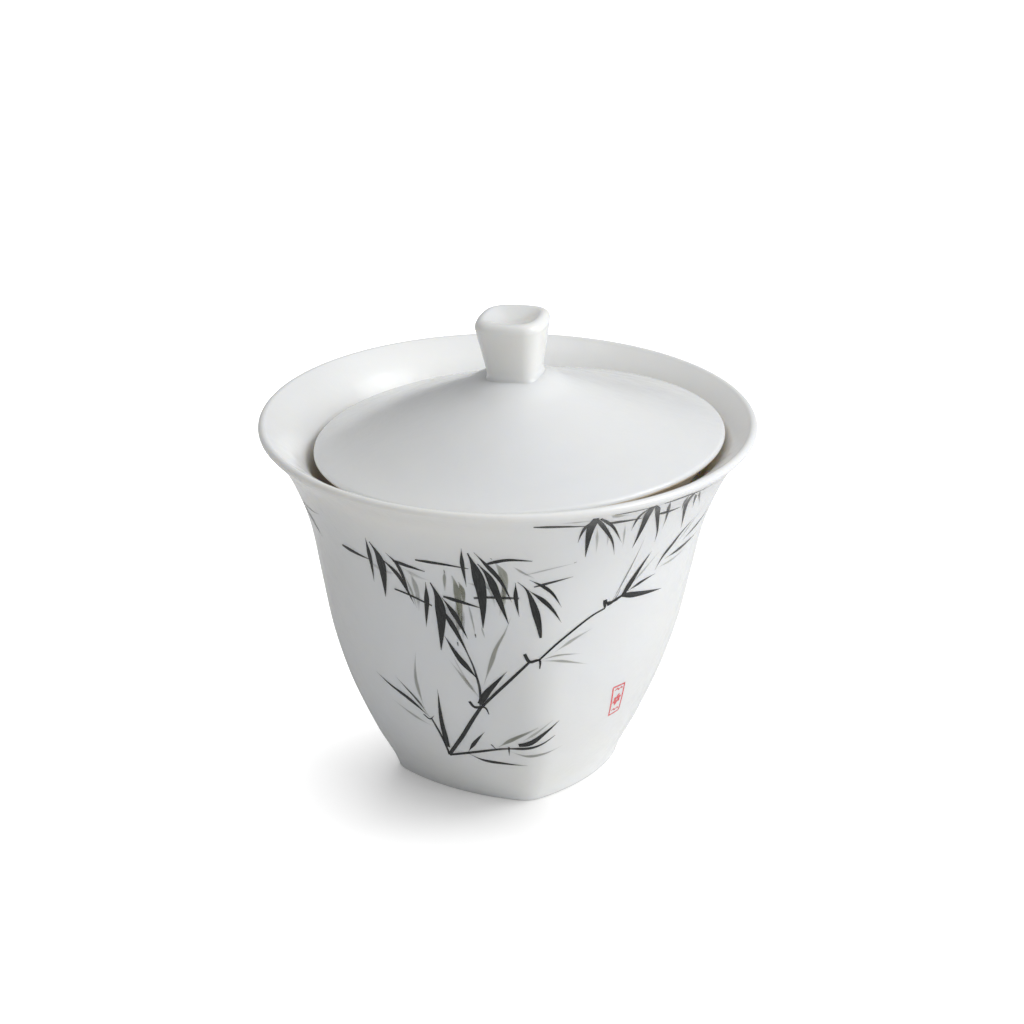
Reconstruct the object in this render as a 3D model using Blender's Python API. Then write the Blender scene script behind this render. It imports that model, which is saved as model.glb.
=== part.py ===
"""A lidded porcelain tea bowl (gaiwan) with a round mouth and a square foot.

The bowl is one thrown and pressed wall: a rounded square at the foot that turns into a circle
before the flared mouth. The lid is a shallow cone with a locating ring under it and a separate
flared knob on top. It stands a little tilted and off centre in the mouth, as a loose lid does.
Sizes are in millimetres, heights are above the surface the bowl stands on.
"""
import math

import bpy
import bmesh
from mathutils import Euler, Vector
from mathutils.geometry import interpolate_bezier

MM = 0.001

# The bowl
MOUTH_RADIUS = 50.0  # outermost radius of the lip
LIP_HEIGHT = 73.0  # height of the middle of the lip
LIP_HALF = 1.4  # half the wall's thickness at the lip
FOOT_WALL = 3.3  # wall thickness just above the floor
# Height and corner radius of the outer wall, from the foot to where the lip starts
WALL_OUTLINE = (
    (0.6, 22.45),
    (3.0, 23.5),
    (9.0, 26.9),
    (20.0, 31.9),
    (31.0, 35.4),
    (42.0, 37.6),
    (54.0, 39.9),
    (62.0, 42.8),
    (68.0, 46.0),
    (72.06, 49.64),
)
ROUND_FROM = 66.0  # the plan is a circle from this height up
FOOT_TURN = -33.5  # degrees from +X to the middle of one side of the foot
RECESS_DEPTH = 1.8  # hollow under the foot
RECESS_RADIUS = 18.6
FOOT_BEVEL = 0.6
FLOOR_HEIGHT = 5.4
FLOOR_RADIUS = 9.0

# The foot's plan: half width at the middle of a side, at the end of a side, and corner radius
FOOT_PLAN = (19.3, 17.36, 5.67)
KNOB_PLAN = (1.0, 0.96, 0.56)

# The lid, in its own frame: z is zero at the edge
LID_CENTRE = (2.3, 0.3, 69.1)
LID_TILT = (-1.0, -3.0)  # degrees about X and Y
LID_RADIUS = 41.2
EDGE_HALF = 0.85  # half the thickness of the lid's edge
SEAT_RADIUS = 6.6  # flat patch that the knob stands on
SEAT_HEIGHT = 14.2
LID_OUTLINE = ((SEAT_RADIUS, SEAT_HEIGHT), (12.0, 11.8), (22.0, 7.8), (32.0, 3.95), (40.55, 0.83))
LID_WALL = 2.4
RING_OUTER = 38.0
RING_INNER = 35.9
RING_DEPTH = 5.0
RING_BEVEL = 0.5

# The knob: corner radii of a flared, dished, rounded square
KNOB_TURN = -15.0  # degrees from the lid's +X to the middle of one side of the knob
KNOB_GAP = 0.3
KNOB_FOOT = 5.9
KNOB_TOP = 8.1
KNOB_HEIGHT = 12.2
KNOB_LIP = 0.9
DISH_DEPTH = 2.0

SEGMENTS = 56
KNOB_SEGMENTS = 36


def smooth_through(points, x):
    """The value at x of a smooth curve through (x, value) points."""
    last = len(points) - 2
    k = max(0, min(last, sum(1 for p in points if p[0] <= x) - 1))

    def slope(i):
        a, b = points[max(i - 1, 0)], points[min(i + 1, len(points) - 1)]
        return (b[1] - a[1]) / (b[0] - a[0])

    (x0, y0), (x1, y1) = points[k], points[k + 1]
    width = x1 - x0
    t = (x - x0) / width
    rise = t * t * (3 - 2 * t)
    return (
        y0 + (y1 - y0) * rise
        + width * slope(k) * t * (1 - t) ** 2
        - width * slope(k + 1) * t * t * (1 - t)
    )


def square_ratio(plan, angle):
    """Radius of a rounded square at this angle from the middle of a side, over its corner radius.

    plan holds the half width at the middle of a side, the half width at its end and the radius of
    the corner. Each side is a shallow arc, tangent to the corners.
    """
    middle, end, corner = plan
    inset = end - corner
    reach = middle - corner
    back = (2 * inset * inset - reach * reach) / (2 * (reach - inset))
    arc = middle + back
    length = math.hypot(inset + back, inset)
    tangent = math.atan2(
        inset + corner * inset / length, inset + corner * (inset + back) / length
    )
    quarter = math.pi / 2
    off = abs((angle + quarter / 2) % quarter - quarter / 2)
    diagonal = inset * math.sqrt(2)
    if off < tangent:
        radius = math.sqrt(arc * arc - (back * math.sin(off)) ** 2) - back * math.cos(off)
    else:
        turn = quarter / 2 - off
        radius = diagonal * math.cos(turn) + math.sqrt(
            max(corner * corner - (diagonal * math.sin(turn)) ** 2, 0.0)
        )
    return radius / (diagonal + corner)


def squareness(height):
    """1 at the foot, falling smoothly to 0 where the wall becomes round."""
    t = min(max(height / ROUND_FROM, 0.0), 1.0)
    return 1 - t * t * (3 - 2 * t)


def ring(radius, height, square, plan, turn, segments):
    """One level of a wall: points round the axis, counter-clockwise from above."""
    points = []
    for i in range(segments):
        a = 2 * math.pi * i / segments + math.radians(turn)
        r = radius * (1 + square * (square_ratio(plan, a - math.radians(turn)) - 1))
        points.append(Vector((r * math.cos(a), r * math.sin(a), height)) * MM)
    return points


def loft(name, rings, material):
    """A closed solid through rings that go from the underside's middle, out, up and back in."""
    mesh = bpy.data.meshes.new(name)
    bm = bmesh.new()
    levels = [[bm.verts.new(p) for p in points] for points in rings]
    for lower, upper in zip(levels, levels[1:]):
        for i in range(len(lower)):
            j = (i + 1) % len(lower)
            bm.faces.new((lower[i], lower[j], upper[j], upper[i]))
    bm.faces.new(reversed(levels[0]))
    bm.faces.new(levels[-1])
    bm.to_mesh(mesh)
    bm.free()
    mesh.shade_smooth()
    mesh.set_sharp_from_angle(angle=math.radians(40))
    mesh.materials.append(material)
    obj = bpy.data.objects.new(name, mesh)
    bpy.context.scene.collection.objects.link(obj)
    return obj


def glaze(name, colour, roughness):
    material = bpy.data.materials.new(name)
    material.use_nodes = True
    shader = material.node_tree.nodes["Principled BSDF"]
    shader.inputs["Base Color"].default_value = (*colour, 1)
    shader.inputs["Roughness"].default_value = roughness
    shader.inputs["Metallic"].default_value = 0
    return material


def arc(centre_r, centre_z, radius, start, end, steps):
    """Points on an arc in the (radius, height) plane, angles in degrees from straight out."""
    angles = [math.radians(start + (end - start) * i / steps) for i in range(steps + 1)]
    return [(centre_r + radius * math.cos(a), centre_z + radius * math.sin(a)) for a in angles]


def wall_point(height):
    """(outer corner radius, slope angle) of the bowl's wall at this height."""
    step = 0.25
    low = max(height - step, WALL_OUTLINE[0][0])
    high = min(height + step, WALL_OUTLINE[-1][0])
    rise = smooth_through(WALL_OUTLINE, high) - smooth_through(WALL_OUTLINE, low)
    return smooth_through(WALL_OUTLINE, height), math.atan2(rise, high - low)


def bowl_outline():
    """(corner radius, height) round the bowl's section, from under the foot to the floor inside."""
    section = [
        (RECESS_RADIUS - 1.6, RECESS_DEPTH),
        (RECESS_RADIUS - 0.5, RECESS_DEPTH - 0.35),
        (RECESS_RADIUS, RECESS_DEPTH - 1.2),
        (RECESS_RADIUS + 0.4, 0.0),
        (WALL_OUTLINE[0][1] - FOOT_BEVEL, 0.0),
    ]
    heights = (0.6, 4, 9, 15, 22, 30, 38, 46, 53, 59, 64, 68.5, 72.06)
    section += [(wall_point(h)[0], h) for h in heights]
    slope = math.degrees(wall_point(WALL_OUTLINE[-1][0])[1])
    lip = arc(MOUTH_RADIUS - LIP_HALF, LIP_HEIGHT, LIP_HALF, -slope, 180 - slope, 6)
    section += lip[1:]
    top = WALL_OUTLINE[-1][0]
    for h in (68.5, 64, 58, 50, 42, 34, 26, 19, 13):
        radius, angle = wall_point(h)
        wall = 2 * LIP_HALF + (FOOT_WALL - 2 * LIP_HALF) * (top - h) / top
        section.append((radius - wall * math.cos(angle), h + wall * math.sin(angle)))
    (r1, z1), (r0, z0) = section[-1], section[-2]
    run = Vector((r1 - r0, z1 - z0, 0)).normalized() * 7
    corner = interpolate_bezier(
        Vector((r1, z1, 0)),
        Vector((r1, z1, 0)) + run,
        Vector((FLOOR_RADIUS + 7, FLOOR_HEIGHT, 0)),
        Vector((FLOOR_RADIUS, FLOOR_HEIGHT, 0)),
        5,
    )
    section += [(p.x, p.y) for p in corner[1:]]
    return section


def build_bowl():
    rings = [
        ring(r, z, squareness(z), FOOT_PLAN, FOOT_TURN, SEGMENTS) for r, z in bowl_outline()
    ]
    return loft("bowl", rings, glaze("bowl_glaze", (0.86, 0.87, 0.87), 0.16))


def lid_outline():
    """(radius, height) round the lid's section, from the middle of its underside to its top."""
    rise = [(r, z) for r, z in LID_OUTLINE]
    top = [(r, smooth_through(rise, r)) for r in (6.6, 10, 15, 20, 25, 30, 35, 40.55)]
    # the underside follows the top, as far in as the ring
    under = [(max(r - 0.9, 5.0), z - LID_WALL) for r, z in top if r < RING_INNER + 0.5]
    brim = -EDGE_HALF
    section = [(2.5, SEAT_HEIGHT - LID_WALL)] + under
    section += [
        (RING_INNER, smooth_through(rise, RING_INNER + 0.9) - LID_WALL),
        (RING_INNER + 0.1, -RING_DEPTH + RING_BEVEL),
        (RING_INNER + RING_BEVEL, -RING_DEPTH),
        (RING_OUTER - RING_BEVEL, -RING_DEPTH),
        (RING_OUTER, -RING_DEPTH + RING_BEVEL),
        (RING_OUTER, brim - 0.3),
        (RING_OUTER + 0.3, brim),
    ]
    section += arc(LID_RADIUS - EDGE_HALF, 0, EDGE_HALF, -90, 76, 5)
    section += [p for p in reversed(top) if p[0] < 40.0]
    return section


def build_lid(frame):
    rings = [ring(r, z, 0, KNOB_PLAN, 0, SEGMENTS) for r, z in lid_outline()]
    obj = loft("lid", rings, glaze("lid_glaze", (0.86, 0.87, 0.87), 0.16))
    obj.parent = frame
    return obj


def build_knob(frame):
    foot = SEAT_HEIGHT + KNOB_GAP
    taper = (KNOB_TOP - KNOB_FOOT) / (KNOB_HEIGHT - KNOB_LIP - 0.5)
    section = [(KNOB_FOOT - 0.9, 0.0), (KNOB_FOOT - 0.3, 0.12)]
    section += [(KNOB_FOOT + taper * (z - 0.5), z) for z in (0.5, 3.0, 5.5, 8.0, 10.0)]
    section += arc(KNOB_TOP - KNOB_LIP, KNOB_HEIGHT - KNOB_LIP, KNOB_LIP, 0, 150, 5)
    rim_r, rim_z = section[-1]
    for share in (0.85, 0.65, 0.4, 0.18):
        section.append((rim_r * share, rim_z - DISH_DEPTH * (1 - share * share)))
    rings = [
        ring(r, foot + z, 1, KNOB_PLAN, KNOB_TURN, KNOB_SEGMENTS) for r, z in section
    ]
    obj = loft("lid_knob", rings, glaze("knob_glaze", (0.86, 0.87, 0.87), 0.16))
    obj.parent = frame
    return obj


def build_lid_frame():
    """The lid's own axis: it stands where the loose lid rests, and the lid lifts from there."""
    frame = bpy.data.objects.new("lid_frame", None)
    frame.location = Vector(LID_CENTRE) * MM
    frame.rotation_euler = Euler((math.radians(LID_TILT[0]), math.radians(LID_TILT[1]), 0))
    bpy.context.scene.collection.objects.link(frame)
    return frame


def main():
    for obj in list(bpy.data.objects):
        bpy.data.objects.remove(obj, do_unlink=True)
    build_bowl()
    frame = build_lid_frame()
    build_lid(frame)
    build_knob(frame)
    bpy.context.view_layer.update()


main()
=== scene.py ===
import math

import bpy
from mathutils import Euler, Matrix, Vector


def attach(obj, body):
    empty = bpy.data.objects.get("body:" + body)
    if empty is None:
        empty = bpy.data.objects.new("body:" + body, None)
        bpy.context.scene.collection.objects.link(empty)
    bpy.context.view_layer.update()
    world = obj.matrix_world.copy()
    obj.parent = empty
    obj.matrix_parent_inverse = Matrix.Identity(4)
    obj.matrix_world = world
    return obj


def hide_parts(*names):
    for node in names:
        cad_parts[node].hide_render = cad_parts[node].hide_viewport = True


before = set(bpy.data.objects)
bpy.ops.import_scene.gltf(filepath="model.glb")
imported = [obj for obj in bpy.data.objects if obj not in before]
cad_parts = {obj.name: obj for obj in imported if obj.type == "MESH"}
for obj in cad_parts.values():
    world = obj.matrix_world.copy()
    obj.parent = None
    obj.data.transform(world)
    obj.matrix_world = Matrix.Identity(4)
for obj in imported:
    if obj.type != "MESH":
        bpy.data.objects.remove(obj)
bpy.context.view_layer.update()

mm = 0.001
scene = bpy.context.scene
scene.view_settings.view_transform = "Standard"


def linkObject(obj):
    scene.collection.objects.link(obj)
    return obj


class Wire:  # a socket that can be used in sums, in shader and geometry trees alike
    def __init__(self, tree, socket):
        self.tree = tree
        self.socket = socket

    def math(self, operation, *others):
        node = self.tree.nodes.new("ShaderNodeMath")
        node.operation = operation
        for socket, value in zip(node.inputs, (self, *others)):
            feed(self.tree, value, socket)
        return Wire(self.tree, node.outputs[0])

    def __add__(self, other):
        return self.math("ADD", other)

    def __sub__(self, other):
        return self.math("SUBTRACT", other)

    def __rsub__(self, other):
        return constant(self.tree, other).math("SUBTRACT", self)

    def __mul__(self, other):
        return self.math("MULTIPLY", other)

    def __truediv__(self, other):
        return self.math("DIVIDE", other)

    __radd__ = __add__
    __rmul__ = __mul__


def feed(tree, value, socket):
    if isinstance(value, Wire):
        tree.links.new(value.socket, socket)
    elif isinstance(value, bpy.types.NodeSocket):
        tree.links.new(value, socket)
    else:
        socket.default_value = value


def constant(tree, value):
    node = tree.nodes.new("ShaderNodeValue")
    node.outputs[0].default_value = value
    return Wire(tree, node.outputs[0])


def addNode(tree, kind, inputs=None, **settings):
    node = tree.nodes.new(kind)
    for name, value in settings.items():
        setattr(node, name, value)
    for key, value in (inputs or {}).items():
        feed(tree, value, node.inputs[key])
    return node


def wireFrom(tree, kind, inputs=None, output=0, **settings):
    return Wire(tree, addNode(tree, kind, inputs, **settings).outputs[output])


def rampBetween(tree, value, low, high, outLow=0.0, outHigh=1.0):
    return wireFrom(tree, "ShaderNodeMapRange", {0: value, 1: low, 2: high, 3: outLow, 4: outHigh},
                    interpolation_type="SMOOTHSTEP")


def newTree(name, inputs, outputs=(("Geometry", "NodeSocketGeometry"),), kind="GeometryNodeTree"):
    tree = bpy.data.node_groups.new(name, kind)
    for title, socketType, *default in inputs:
        socket = tree.interface.new_socket(title, in_out="INPUT", socket_type=socketType)
        if default:
            socket.default_value = default[0]
    for title, socketType in outputs:
        tree.interface.new_socket(title, in_out="OUTPUT", socket_type=socketType)
    entry = tree.nodes.new("NodeGroupInput")
    leave = tree.nodes.new("NodeGroupOutput")
    return tree, entry, leave


def runTree(obj, tree, values):  # sets the inputs by identifier, then keeps the result as a plain mesh
    modifier = obj.modifiers.new(tree.name, "NODES")
    modifier.node_group = tree
    for item in tree.interface.items_tree:
        if item.item_type == "SOCKET" and item.in_out == "INPUT" and item.name in values:
            modifier[item.identifier] = values[item.name]
    bpy.context.view_layer.update()
    evaluated = obj.evaluated_get(bpy.context.evaluated_depsgraph_get())
    mesh = bpy.data.meshes.new_from_object(evaluated)
    obj.modifiers.remove(modifier)
    return mesh


def polyline(name, points, flags=None):  # points as (radius, height) in millimetres, flags mark bare clay
    mesh = bpy.data.meshes.new(name)
    edges = [(i, i + 1) for i in range(len(points) - 1)]
    mesh.from_pydata([(r * mm, 0, z * mm) for r, z in points], edges, [])
    if flags:
        attribute = mesh.attributes.new("bare", "FLOAT", "POINT")
        attribute.data.foreach_set("value", flags)
    return linkObject(bpy.data.objects.new(name, mesh))


def smoothThrough(points, x):  # a smooth curve through the points, read at x
    last = len(points) - 2
    k = max(0, min(last, sum(1 for p in points if p[0] <= x) - 1))

    def slope(i):
        a, b = points[max(i - 1, 0)], points[min(i + 1, len(points) - 1)]
        return (b[1] - a[1]) / (b[0] - a[0])

    (x0, y0), (x1, y1) = points[k], points[k + 1]
    width = x1 - x0
    t = (x - x0) / width
    rise = t * t * (3 - 2 * t)
    return (y0 + (y1 - y0) * rise + width * slope(k) * t * (1 - t) ** 2
            - width * slope(k + 1) * t * t * (1 - t))


def arcPoints(centreR, centreZ, radius, start, end, steps):
    angles = [math.radians(start + (end - start) * i / steps) for i in range(steps + 1)]
    return [(centreR + radius * math.cos(a), centreZ + radius * math.sin(a)) for a in angles]


def bezierPoints(a, b, c, d, steps):
    points = []
    for i in range(steps + 1):
        t = i / steps
        w = ((1 - t) ** 3, 3 * t * (1 - t) ** 2, 3 * t * t * (1 - t), t ** 3)
        points.append(tuple(sum(k * p[n] for k, p in zip(w, (a, b, c, d))) for n in (0, 1)))
    return points


weldDistance = 0.000002  # metres, closes the shell's poles and seam


# One tree turns a section into a shell: round where it is asked for, a rounded square below.
def buildShellTree():
    tree, entry, leave = newTree("turnedShell", (
        ("Section", "NodeSocketGeometry"),
        ("Segments", "NodeSocketInt", 256),
        ("Turn", "NodeSocketFloat", 0.0),
        ("Side Middle", "NodeSocketFloat", 1.0),
        ("Side End", "NodeSocketFloat", 1.0),
        ("Corner Radius", "NodeSocketFloat", 0.5),
        ("Square At Foot", "NodeSocketFloat", 1.0),
        ("Round From", "NodeSocketFloat", 1.0),
        ("Glaze", "NodeSocketMaterial"),
        ("Bare Clay", "NodeSocketMaterial"),
    ))

    def given(name):
        return Wire(tree, entry.outputs[name])

    position = addNode(tree, "GeometryNodeInputPosition").outputs[0]
    split = addNode(tree, "ShaderNodeSeparateXYZ", {0: position})
    x, y, z = (Wire(tree, s) for s in split.outputs)

    section = addNode(tree, "GeometryNodeMeshToCurve", {0: given("Section")}).outputs[0]
    keepSection = addNode(tree, "GeometryNodeCaptureAttribute", {0: section})
    keepSection.capture_items.new("FLOAT", "radius")
    keepSection.capture_items.new("FLOAT", "height")
    feed(tree, x, keepSection.inputs[1])
    feed(tree, z, keepSection.inputs[2])

    circle = addNode(tree, "GeometryNodeCurvePrimitiveCircle",
                     {"Resolution": given("Segments"), "Radius": 1.0}).outputs[0]
    keepCircle = addNode(tree, "GeometryNodeCaptureAttribute", {0: circle})
    keepCircle.capture_items.new("FLOAT", "angle")
    feed(tree, y.math("ARCTAN2", x), keepCircle.inputs[1])

    shell = addNode(tree, "GeometryNodeCurveToMesh",
                    {"Curve": keepCircle.outputs[0], "Profile Curve": keepSection.outputs[0]}).outputs[0]
    radius, height = Wire(tree, keepSection.outputs[1]), Wire(tree, keepSection.outputs[2])
    angle = Wire(tree, keepCircle.outputs[1])

    middle, end, corner = given("Side Middle"), given("Side End"), given("Corner Radius")
    inset, reach = end - corner, middle - corner
    back = (2.0 * inset * inset - reach * reach) / (2.0 * (reach - inset))
    arc = middle + back
    along = ((inset + back) * (inset + back) + inset * inset).math("SQRT")
    tangent = (inset + corner * inset / along).math("ARCTAN2", inset + corner * (inset + back) / along)
    quarter = math.pi / 2
    twoTurnsOn = quarter * 8.5  # keeps the angle positive, and puts zero at the middle of a side
    off = ((angle + twoTurnsOn).math("MODULO", quarter) - (quarter / 2)).math("ABSOLUTE")
    bend = back * off.math("SINE")
    sideRadius = (arc * arc - bend * bend).math("SQRT") - back * off.math("COSINE")
    diagonal = inset * math.sqrt(2)
    turn = quarter / 2 - off
    drop = diagonal * turn.math("SINE")
    cornerRadius = (diagonal * turn.math("COSINE")
                    + (corner * corner - drop * drop).math("MAXIMUM", 0.0).math("SQRT"))
    atCorner = off.math("GREATER_THAN", tangent)
    squareRadius = sideRadius + atCorner * (cornerRadius - sideRadius)
    ratio = squareRadius / (diagonal + corner)
    square = given("Square At Foot") * rampBetween(tree, height, 0.0, given("Round From"), 1.0, 0.0)
    newRadius = radius * (1.0 + square * (ratio - 1.0))
    place = angle + given("Turn")
    moved = addNode(tree, "ShaderNodeCombineXYZ", {
        0: newRadius * place.math("COSINE"), 1: newRadius * place.math("SINE"), 2: height})
    shaped = addNode(tree, "GeometryNodeSetPosition", {"Geometry": shell, "Position": moved.outputs[0]})
    closed = addNode(tree, "GeometryNodeMergeByDistance",
                     {"Geometry": shaped.outputs[0], "Distance": weldDistance})
    smooth = addNode(tree, "GeometryNodeSetShadeSmooth", {"Geometry": closed.outputs[0]})
    real = addNode(tree, "GeometryNodeRealizeInstances", {0: smooth.outputs[0]})
    glazed = addNode(tree, "GeometryNodeSetMaterial",
                     {"Geometry": real.outputs[0], "Material": given("Glaze")})
    bare = addNode(tree, "GeometryNodeInputNamedAttribute", {"Name": "bare"}, data_type="FLOAT")
    isBare = Wire(tree, bare.outputs[0]).math("GREATER_THAN", 0.5)
    finished = addNode(tree, "GeometryNodeSetMaterial", {
        "Geometry": glazed.outputs[0], "Selection": isBare, "Material": given("Bare Clay")})
    tree.links.new(finished.outputs[0], leave.inputs[0])
    return tree


def outward(mesh):  # the shells are star-like, so their volume's sign tells which way they face
    volume = 0.0
    for face in mesh.polygons:
        a, *rest = (mesh.vertices[i].co for i in face.vertices)
        for b, c in zip(rest, rest[1:]):
            volume += a.dot(b.cross(c))
    if volume < 0:
        mesh.flip_normals()
    return mesh


def planValues(plan):  # a rounded square's half widths at the middle and end of a side, then its corner
    return dict(zip(("Side Middle", "Side End", "Corner Radius"), plan))


def addShell(name, section, values, place=None, bare=None):
    source = polyline(name + "_section", section, bare)
    mesh = runTree(source, shellTree, {**values, "Glaze": glaze, "Bare Clay": bareClay})
    bpy.data.objects.remove(source)
    if place is not None:
        mesh.transform(place)
    outward(mesh)
    mesh.name = name
    print(name, len(mesh.vertices), "points")
    return linkObject(bpy.data.objects.new(name, mesh))


def newMaterial(name):
    material = bpy.data.materials.new(name)
    material.use_nodes = True
    tree = material.node_tree
    return material, tree, tree.nodes["Principled BSDF"]


def groupWires(tree, group, values):  # a shader group placed in a material, its outputs by name
    node = tree.nodes.new("ShaderNodeGroup")
    node.node_tree = group
    for key, value in values.items():
        feed(tree, value, node.inputs[key])
    return {socket.name: Wire(tree, socket) for socket in node.outputs}


def mixColour(tree, share, a, b):
    return Wire(tree, addNode(tree, "ShaderNodeMix", {0: share, 6: a, 7: b}, data_type="RGBA").outputs[2])


def bumpFrom(tree, shader, height, distance, strength):
    bump = addNode(tree, "ShaderNodeBump", {"Height": height, "Distance": distance, "Strength": strength})
    feed(tree, bump.outputs[0], shader.inputs["Normal"])


# Cloudy, fine and speckled variation that every finish draws on.
def buildGrain():
    tree, entry, leave = newTree("surfaceGrain", (
        ("Cloud Scale", "NodeSocketFloat", 30.0),
        ("Fine Scale", "NodeSocketFloat", 900.0),
        ("Speck Scale", "NodeSocketFloat", 300.0),
        ("Speck Share", "NodeSocketFloat", 0.02),
        ("Speck Size", "NodeSocketFloat", 0.03),
    ), [(title, "NodeSocketFloat") for title in ("Cloud", "Fine", "Speck")], "ShaderNodeTree")
    place = addNode(tree, "ShaderNodeTexCoord").outputs["Object"]
    inputs = entry.outputs

    def noise(title, detail):
        value = wireFrom(tree, "ShaderNodeTexNoise",
                         {"Vector": place, "Scale": inputs[title], "Detail": detail})
        return rampBetween(tree, value, 0.3, 0.7)

    cells = addNode(tree, "ShaderNodeTexVoronoi", {"Vector": place, "Scale": inputs["Speck Scale"]})
    chance = wireFrom(tree, "ShaderNodeSeparateColor", {0: cells.outputs["Color"]})
    chosen = chance.math("LESS_THAN", Wire(tree, inputs["Speck Share"]))
    size = Wire(tree, inputs["Speck Size"])
    speck = chosen * rampBetween(tree, cells.outputs["Distance"], 0.0, size, 1.0, 0.0)
    for socket, value in zip(leave.inputs, (noise("Cloud Scale", 3.0), noise("Fine Scale", 4.0), speck)):
        feed(tree, value, socket)
    return tree


grainGroup = buildGrain()

porcelain = {
    "cool": (0.862, 0.876, 0.882, 1),
    "warm": (0.872, 0.876, 0.858, 1),
    "speck": (0.55, 0.52, 0.47, 1),
    "speckShown": 0.5,
    "grain": {"Cloud Scale": 26.0, "Fine Scale": 1400.0, "Speck Scale": 130.0, "Speck Share": 0.03,
              "Speck Size": 0.035},
    "wideGrain": {"Cloud Scale": 160.0, "Fine Scale": 420.0, "Speck Scale": 900.0, "Speck Share": 0.01},
    "roughness": 0.17,
    "rougher": 0.08,
    "grainRougher": 0.02,
    # height in metres and how strongly it shows, then the shares of ripple, fine grain and pinholes
    "bump": (0.00012, 0.5),
    "bumpShares": (0.7, 0.12, 0.6),
    "glow": 0.35,
    "glowDepth": 0.006,
    "glowColour": (1.0, 0.85, 0.62),
}

biscuit = {
    "pale": (0.82, 0.73, 0.6, 1),
    "dark": (0.75, 0.62, 0.46, 1),
    "speckShown": 0.6,
    "grain": {"Cloud Scale": 140.0, "Fine Scale": 2600.0, "Speck Scale": 1200.0, "Speck Share": 0.12,
              "Speck Size": 0.25},
    "roughness": 0.62,
    "rougher": 0.25,
    "bump": (0.0001, 0.6),
}


def buildGlaze():
    material, tree, shader = newMaterial("porcelainGlaze")
    grain = groupWires(tree, grainGroup, porcelain["grain"])
    wide = groupWires(tree, grainGroup, porcelain["wideGrain"])
    body = mixColour(tree, grain["Cloud"], porcelain["cool"], porcelain["warm"])
    specks = grain["Speck"] * porcelain["speckShown"]
    feed(tree, mixColour(tree, specks, body, porcelain["speck"]), shader.inputs["Base Color"])
    feed(tree, porcelain["roughness"] + wide["Cloud"] * porcelain["rougher"]
         + grain["Fine"] * porcelain["grainRougher"], shader.inputs["Roughness"])
    ripple, fine, pinhole = porcelain["bumpShares"]
    bumpFrom(tree, shader, wide["Cloud"] * ripple + wide["Fine"] * fine - grain["Speck"] * pinhole,
             *porcelain["bump"])
    shader.inputs["Subsurface Weight"].default_value = porcelain["glow"]
    shader.inputs["Subsurface Radius"].default_value = porcelain["glowColour"]
    shader.inputs["Subsurface Scale"].default_value = porcelain["glowDepth"]
    return material


def buildBareClay():
    material, tree, shader = newMaterial("bareClay")
    grain = groupWires(tree, grainGroup, biscuit["grain"])
    body = mixColour(tree, grain["Cloud"], biscuit["pale"], biscuit["dark"])
    specks = grain["Speck"] * biscuit["speckShown"]
    feed(tree, mixColour(tree, specks, body, porcelain["speck"]), shader.inputs["Base Color"])
    feed(tree, biscuit["roughness"] + grain["Fine"] * biscuit["rougher"], shader.inputs["Roughness"])
    bumpFrom(tree, shader, grain["Fine"] + grain["Speck"], *biscuit["bump"])
    return material


glaze = buildGlaze()
bareClay = buildBareClay()
shellTree = buildShellTree()


bowl = {
    "lipHalf": 0.9,
    # height on the outer face and thickness there
    "thickness": ((0.6, 3.3), (48.0, 3.3), (58.0, 3.8), (63.5, 4.0), (66.5, 3.3), (70.0, 2.5),
                  (72.06, 1.8)),
    # height and corner radius of the outer wall
    "wall": ((0.6, 22.45), (3.0, 23.5), (9.0, 26.9), (20.0, 31.9), (31.0, 35.4), (42.0, 37.6),
             (54.0, 39.9), (62.0, 42.8), (68.0, 46.0), (72.06, 49.64)),
    "roundFrom": 66.0,
    "footTurn": -33.5,
    "footPlan": (19.3, 17.36, 5.67),
    "recessDepth": 1.8,
    "recessRadius": 18.6,
    "floorHeight": 5.4,
    "floorRadius": 9.0,
    "floorCurve": 7.0,  # how far the curve into the floor pulls at each end
    "innerTop": 0.3,  # how far below the wall's top the inner face starts
    "innerEnd": 13.3,  # less innerTop, the height where it turns into the floor's curve
    "outerSteps": 74,
    "innerSteps": 60,
    "segments": 320,
}


def wallPoint(height):
    wall = bowl["wall"]
    low, high = max(height - 0.25, wall[0][0]), min(height + 0.25, wall[-1][0])
    rise = smoothThrough(wall, high) - smoothThrough(wall, low)
    return smoothThrough(wall, height), math.atan2(rise, high - low)


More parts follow.
